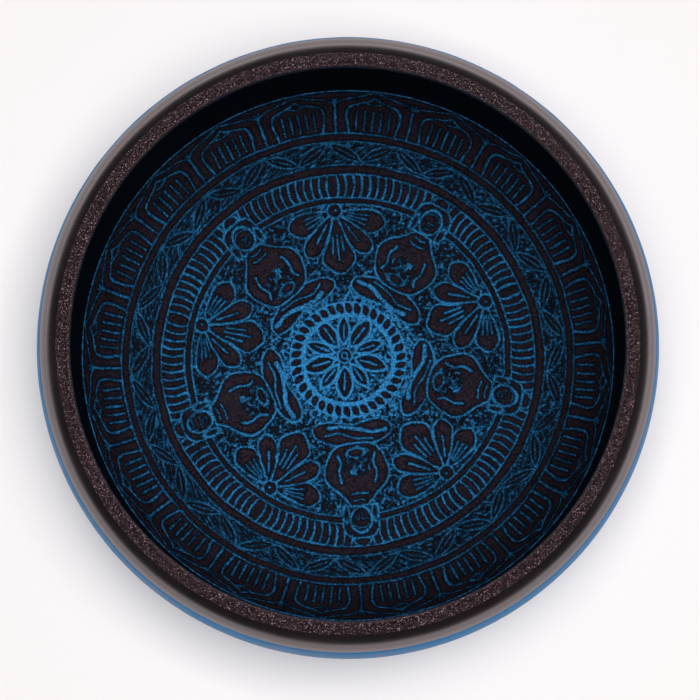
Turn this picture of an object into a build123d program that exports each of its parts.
from build123d import *
import math
import os

# A cast singing bowl with an in-turned rim. The metal is one casting. Its finish is laid on it in coats
# of two colours, and the ornament stands on the floor as raised dark relief with blue between.
# The bowl stands on z = 0, its axis is Z, and its mouth opens upwards. All sizes are in millimetres.

os.makedirs("parts", exist_ok=True)

# ---- driving dimensions of the bowl --------------------------------------------------------------
belly_radius = 75.0  # the widest circle
belly_height = 46.0
wall = 4.0  # finished thickness of the wall and floor
coat = 0.25  # each lacquer or enamel coat
relief = 0.45  # how far the ornament stands above the blue floor

# ---- the outside, from the foot up: a chain of tangent arcs --------------------------------------
heel_arc = 34.5
side_arc = 55.0
upper_arc = 57.4
shoulder_arc = 6.5
shoulder_height = 58.2  # centre of the shoulder's arc
crown_arc = 14.0  # the slightly crowned top of the lip
edge_arc = 1.0  # round between the lip's top and the mouth
under_arc = 0.6  # round between the mouth and the underside of the lip
under_lip_height = 61.4

foot_edge_angle = -82.0  # on the heel's arc, where the ground foot ends and the enamel starts
colour_break_angle = 26.0  # on the shoulder's arc: blue enamel below, dark lacquer above
lip_start_angle = 75.0  # on the shoulder's arc
lip_edge_angle = 83.7  # on the crown's arc
relief_edge_radius = 66.7  # where the ornament on the inside stops

# ---- the ornament on the floor, from the centre out ----------------------------------------------
hub_radius = 1.6
flower_petals = 10
flower_reach = 10.5
rope_inner, rope_outer, rope_leaves = 12.2, 14.6, 38
inner_ring = (41.0, 42.1)
dash_inner, dash_outer = 42.8, 47.9
middle_ring = (48.7, 50.3)
leaf_inner, leaf_outer = 50.9, 55.5
outer_ring = (56.2, 57.5)
border_inner = 58.2
border_bead = 0.9  # width of the bead that closes the ornament

figures = 5
first_figure = 58.9  # degrees from +X
dashes_each = 28  # pitches between one figure and the next
border_petals = 20
first_border_petal = 12.0
first_leaf_peak = 5.3
head_reach = 41.5  # from the bowl's centre to a figure's head
halo_radius = 4.3
knot_reach = 5.5  # from a head's centre to the knot of hair above it
flower_pivot_reach = 38.7
figure_pitch = 360 / figures
border_pitch = 360 / border_petals

# ---- arc centres, each from the tangency with its neighbour ---------------------------------------
side_centre = (belly_radius - side_arc, belly_height)
heel_centre = (
    side_centre[0] + math.sqrt((side_arc - heel_arc) ** 2 - (belly_height - heel_arc) ** 2),
    heel_arc,
)
heel_end = math.degrees(math.atan2(heel_centre[1] - side_centre[1], heel_centre[0] - side_centre[0]))
upper_centre = (belly_radius - upper_arc, belly_height)
shoulder_rise = shoulder_height - belly_height
shoulder_centre = (
    upper_centre[0] + math.sqrt((upper_arc - shoulder_arc) ** 2 - shoulder_rise**2),
    shoulder_height,
)
upper_end = math.degrees(math.atan2(shoulder_rise, shoulder_centre[0] - upper_centre[0]))


def on_arc(centre, radius, angle):
    """The point (r, z) at an angle in degrees round an arc's centre."""
    turn = math.radians(angle)
    return (centre[0] + radius * math.cos(turn), centre[1] + radius * math.sin(turn))


crown_centre = on_arc(shoulder_centre, shoulder_arc - crown_arc, lip_start_angle)
edge_centre = on_arc(crown_centre, crown_arc - edge_arc, lip_edge_angle)
edge_radius = edge_centre[0] - edge_arc
under_centre = (edge_radius + under_arc, under_lip_height + under_arc)

# The hollow's surface is the outside moved in by the wall, up to the turn below the lip.
hollow_heel = heel_arc - wall
hollow_side = side_arc - wall
hollow_upper = upper_arc - wall
turn_reach = under_centre[0] - upper_centre[0]
turn_rise = under_lip_height - belly_height
turn_arc = (hollow_upper**2 - turn_reach**2 - turn_rise**2) / (2 * (hollow_upper - turn_rise))
turn_centre = (under_centre[0], under_lip_height - turn_arc)
turn_angle = math.degrees(math.atan2(turn_centre[1] - belly_height, turn_centre[0] - upper_centre[0]))
relief_edge_angle = -math.degrees(math.acos((relief_edge_radius - side_centre[0]) / hollow_side))

# Each chain is a list of (centre, radius, start angle, end angle), and +1 where the metal is on the
# arc centre's side, so that moving into the metal makes the arc smaller, or -1 where it is beyond.
enamel_chain = [
    (heel_centre, heel_arc, foot_edge_angle, heel_end, 1),
    (side_centre, side_arc, heel_end, 0, 1),
    (upper_centre, upper_arc, 0, upper_end, 1),
    (shoulder_centre, shoulder_arc, upper_end, colour_break_angle, 1),
]
shoulder_chain = [(shoulder_centre, shoulder_arc, colour_break_angle, lip_start_angle, 1)]
lip_chain = [
    (crown_centre, crown_arc, lip_start_angle, lip_edge_angle, 1),
    (edge_centre, edge_arc, lip_edge_angle, 180, 1),
    (under_centre, under_arc, 180, 270, 1),
]
wall_chain = [
    (turn_centre, turn_arc, 90, turn_angle, -1),
    (upper_centre, hollow_upper, turn_angle, 0, -1),
    (side_centre, hollow_side, 0, relief_edge_angle, -1),
]
floor_chain = [
    (side_centre, hollow_side, relief_edge_angle, heel_end, -1),
    (heel_centre, hollow_heel, heel_end, -90, -1),
]


def chain_ends(chain, depth):
    """The first and last point of a chain that lies depth into the metal."""
    centre, radius, start, _, side = chain[0]
    first = on_arc(centre, radius - side * depth, start)
    centre, radius, _, end, side = chain[-1]
    return first, on_arc(centre, radius - side * depth, end)


def draw_chain(chain, depth):
    """Adds a chain's arcs to the open BuildLine, joined by lines where two arcs don't meet."""
    last = None
    for centre, radius, start, end, side in chain:
        reach = radius - side * depth
        first = on_arc(centre, reach, start)
        if last is not None and math.dist(last, first) > 1e-4:
            Line(last, first)
        CenterArc(centre, reach, start, end - start)
        last = on_arc(centre, reach, end)


def draw_coat(chain, outer_depth, inner_depth):
    """Adds the closed outline of a layer between two depths along a chain."""
    draw_chain(chain, outer_depth)
    draw_chain(chain, inner_depth)
    for near, far in zip(chain_ends(chain, outer_depth), chain_ends(chain, inner_depth)):
        Line(near, far)


def draw_floor_layer(outer_depth, inner_depth):
    """As draw_coat, for the floor, whose layer runs on flat to the axis."""
    near, far = chain_ends(floor_chain, outer_depth), chain_ends(floor_chain, inner_depth)
    draw_chain(floor_chain, outer_depth)
    draw_chain(floor_chain, inner_depth)
    Polyline(near[1], (0, near[1][1]), (0, far[1][1]), far[1])
    Line(near[0], far[0])


def save(node, name):
    """Labels a finished piece and writes it as its own STEP file."""
    node.part.label = name
    export_step(node.part, f"parts/{name}.step")


# ---- the casting ---------------------------------------------------------------------------------
with BuildPart() as bowl_casting:
    with BuildSketch(Plane.XZ):
        with BuildLine():
            foot_start = on_arc(heel_centre, heel_arc, -90)
            foot_end, _ = chain_ends(enamel_chain, 0)
            coat_start, _ = chain_ends(enamel_chain, coat)
            Line((0, 0), foot_start)
            CenterArc(heel_centre, heel_arc, -90, foot_edge_angle + 90)
            Line(foot_end, coat_start)
            draw_chain(enamel_chain + shoulder_chain + lip_chain + wall_chain + floor_chain, coat)
            _, floor_end = chain_ends(floor_chain, coat)
            Polyline(floor_end, (0, floor_end[1]), (0, 0))
        make_face()
    revolve(axis=Axis.Z)
save(bowl_casting, "bowl_casting")

# ---- the coats -----------------------------------------------------------------------------------
coats = {
    "outer_blue_enamel": enamel_chain,
    "shoulder_dark_lacquer": shoulder_chain,
    "lip_dark_lacquer": lip_chain,
    "inner_wall_lacquer": wall_chain,
}
for coat_name, chain in coats.items():
    with BuildPart() as coat_part:
        with BuildSketch(Plane.XZ):
            with BuildLine():
                draw_coat(chain, 0, coat)
            make_face()
        revolve(axis=Axis.Z)
    save(coat_part, coat_name)

with BuildPart() as floor_blue_enamel:
    with BuildSketch(Plane.XZ):
        with BuildLine():
            draw_floor_layer(0, coat)
        make_face()
    revolve(axis=Axis.Z)
save(floor_blue_enamel, "floor_blue_enamel")

# ---- flat shapes that the ornament repeats, in the XY plane with +Y pointing outwards -----------


def leaf_face(length, width):
    """A pointed leaf from the origin along +Y."""
    with BuildSketch() as leaf:
        with BuildLine():
            ThreePointArc((0, 0), (width / 2, length / 2), (0, length))
            ThreePointArc((0, length), (-width / 2, length / 2), (0, 0))
        make_face()
    return leaf.sketch


def fan_petal_face(start, length, root, width):
    """A petal that widens from its root and ends in a round."""
    shoulder = length - width / 3
    with BuildSketch() as petal:
        with BuildLine():
            Line((-root / 2, start), (root / 2, start))
            Line((root / 2, start), (width / 2, shoulder))
            ThreePointArc((width / 2, shoulder), (0, length), (-width / 2, shoulder))
            Line((-width / 2, shoulder), (-root / 2, start))
        make_face()
    return petal.sketch


def fan_flower_face():
    """Five petals that fan inwards from a pivot: wide and narrow by turns."""
    wide = fan_petal_face(2.2, 13.6, 1.2, 7.2)
    side = fan_petal_face(2.2, 11.6, 1.2, 6.4)
    narrow = fan_petal_face(2.2, 12.4, 0.9, 3.0)
    with BuildSketch() as flower:
        Circle(1.5)
        for petal, turn in ((wide, 0), (narrow, 37), (narrow, -37), (side, 74), (side, -74)):
            with Locations(Location((0, 0, 0), (0, 0, 180 + turn))):
                add(petal)
    return flower.sketch


def figure_face():
    """A seated figure seen from the front, its head outwards, with crossed legs towards the centre."""
    knee = leaf_face(13.4, 5.6)
    with BuildSketch() as figure:
        with BuildLine():
            Spline((2.0, 37.7), (2.6, 36.0), (6.4, 32.8), (7.8, 28.6), (6.2, 24.2), (0, 22.3))
            Spline((0, 22.3), (-6.2, 24.2), (-7.8, 28.6), (-6.4, 32.8), (-2.6, 36.0), (-2.0, 37.7))
            Line((-2.0, 37.7), (2.0, 37.7))
        make_face()
        with Locations((0, head_reach)):
            Ellipse(2.5, 3.1)
        with Locations(Location((9.8, 19.4, 0), (0, 0, 98)), Location((-9.8, 19.4, 0), (0, 0, -98))):
            add(knee)
    return figure.sketch


def halo_face():
    """The arch round a figure's head, open towards its neck, with the knot of hair above it."""
    with BuildSketch() as halo:
        with Locations((0, head_reach)):
            Circle(halo_radius)
            Ellipse(3.1, 3.7, mode=Mode.SUBTRACT)
        with Locations((0, head_reach - 5.5)):
            Rectangle(12, 8, mode=Mode.SUBTRACT)
        with Locations((0, head_reach + knot_reach)):
            Circle(1.2)
    return halo.sketch


def border_petal_arch(half_width, peak):
    """Half-turned arch of a lotus petal, from the border's base line to its pointed top."""
    base = border_inner
    shoulder = base + 0.55 * (peak - base)
    with BuildSketch() as arch:
        with BuildLine():
            Polyline((-half_width, shoulder), (-half_width, base), (half_width, base), (half_width, shoulder))
            rise = (half_width * 0.72, shoulder + 0.64 * (peak - shoulder))
            ThreePointArc((half_width, shoulder), rise, (0, peak))
            ThreePointArc((0, peak), (-rise[0], rise[1]), (-half_width, shoulder))
        make_face()
    return arch.sketch


def border_petal_face():
    """A lotus petal: an inner arch with five slots, and a rim round it with a gap between."""
    outer_half, rim_half, core_half = 8.6, 7.0, 6.3
    rim_peak, core_peak = 64.8, 64.0
    with BuildSketch() as petal:
        add(border_petal_arch(outer_half, 65.4))
        add(border_petal_arch(rim_half, rim_peak), mode=Mode.SUBTRACT)
        add(border_petal_arch(core_half, core_peak))
        with Locations((0, border_inner + 2.2)):
            with GridLocations(2.1, 1, 5, 1):
                Rectangle(0.55, 4.5, mode=Mode.SUBTRACT)
    return petal.sketch


def turned(angle):
    """A place at the bowl's centre whose +Y points along an angle from +X."""
    return Location((0, 0, 0), (0, 0, angle - 90))


figure_places = [turned(first_figure + figure_pitch * k) for k in range(figures)]
flower_places = [
    turned(first_figure + figure_pitch * (k + 0.5)) * Location((0, flower_pivot_reach, 0))
    for k in range(figures)
]
border_places = [turned(first_border_petal + border_pitch * k) for k in range(border_petals)]
ornament_height = 40.0  # tall enough to pass through the whole dished floor


def relief_part(draw):
    """Solids that follow the floor: its relief layer, kept only where draw adds a flat shape."""
    with BuildPart() as ornament:
        with BuildSketch(Plane.XZ):
            with BuildLine():
                draw_floor_layer(-relief, 0)
            make_face()
        revolve(axis=Axis.Z)
        with BuildSketch(Plane.XY):
            draw()
        extrude(amount=ornament_height, mode=Mode.INTERSECT)
    return ornament


def draw_ring(inner, outer, halo_gap):
    """A plain ring, cut away round each head where the halo crosses it."""
    Circle(outer)
    Circle(inner, mode=Mode.SUBTRACT)
    if halo_gap:
        with Locations(*[place * Location((0, head_reach, 0)) for place in figure_places]):
            Circle(halo_radius + halo_gap, mode=Mode.SUBTRACT)


def draw_centre_flower():
    petal = leaf_face(flower_reach - hub_radius - 0.5, 3.0)
    Circle(hub_radius)
    with PolarLocations(hub_radius + 0.5, flower_petals):
        add(petal, rotation=-90)


def draw_rope_ring():
    leaf = leaf_face(math.hypot(rope_outer - rope_inner, 0.9), 1.25)
    lean = -25
    with PolarLocations(rope_inner, rope_leaves):
        add(leaf, rotation=-90 + lean)


def draw_seated_figures():
    with Locations(*figure_places):
        add(figure_face())
        add(halo_face())


def draw_fan_flowers():
    with Locations(*flower_places):
        add(fan_flower_face())


def draw_dashes():
    """Bars between two circles, one pitch apart, without those that a halo covers."""
    pitch = figure_pitch / dashes_each
    bar_width = math.radians(pitch) * dash_inner - 0.75
    covered = 3  # bars on each side of a head
    steps = range(covered, dashes_each - covered)
    places = [
        turned(first_figure + figure_pitch * k + pitch * (step + 0.5)) * Location((0, dash_inner, 0))
        for k in range(figures)
        for step in steps
    ]
    length = dash_outer - dash_inner
    with Locations(*places):
        Rectangle(bar_width, length, align=(Align.CENTER, Align.MIN))


def draw_leaf_border():
    """Leaves in a zigzag: each peak has one leaf down to either side."""
    half_pitch = math.radians(border_pitch / 2)
    peak = (0, leaf_outer)
    foot = (leaf_inner * math.sin(half_pitch), leaf_inner * math.cos(half_pitch))
    length = math.dist(peak, foot) - 0.9
    lean = math.degrees(math.atan2(foot[0], peak[1] - foot[1]))
    leaf = leaf_face(length, 2.3)
    for k in range(border_petals):
        place = turned(first_leaf_peak + border_pitch * k)
        start = Location((0.25, leaf_outer - 0.2, 0), (0, 0, 180 + lean))
        other = Location((-0.25, leaf_outer - 0.2, 0), (0, 0, 180 - lean))
        with Locations(place * start, place * other):
            add(leaf)


def draw_lotus_border():
    with Locations(*border_places):
        add(border_petal_face())


ornaments = {
    "centre_flower": draw_centre_flower,
    "rope_ring": draw_rope_ring,
    "seated_figures": draw_seated_figures,
    "fan_flowers": draw_fan_flowers,
    "inner_plain_ring": lambda: draw_ring(*inner_ring, 0.3),
    "dash_ring": draw_dashes,
    "middle_plain_ring": lambda: draw_ring(*middle_ring, 0),
    "leaf_border": draw_leaf_border,
    "outer_plain_ring": lambda: draw_ring(*outer_ring, 0),
    "lotus_border": draw_lotus_border,
}
for ornament_name, draw in ornaments.items():
    save(relief_part(draw), ornament_name)

# ---- the bead that closes the ornament -----------------------------------------------------------
bead_angle = math.degrees(border_bead / hollow_side)
bead_chain = [(side_centre, hollow_side, relief_edge_angle, relief_edge_angle - bead_angle, -1)]
with BuildPart() as border_bead_ring:
    with BuildSketch(Plane.XZ):
        with BuildLine():
            draw_coat(bead_chain, -relief, 0)
        make_face()
    revolve(axis=Axis.Z)
save(border_bead_ring, "border_bead")

for label, value in (("mouth radius", edge_radius), ("turn below the lip", turn_arc)):
    print(f"{label}: {value:.2f} mm")
lip_top = crown_centre[1] + crown_arc * math.sin(math.radians(lip_edge_angle))
print(f"top of the lip: {max(lip_top, edge_centre[1] + edge_arc):.2f} mm")
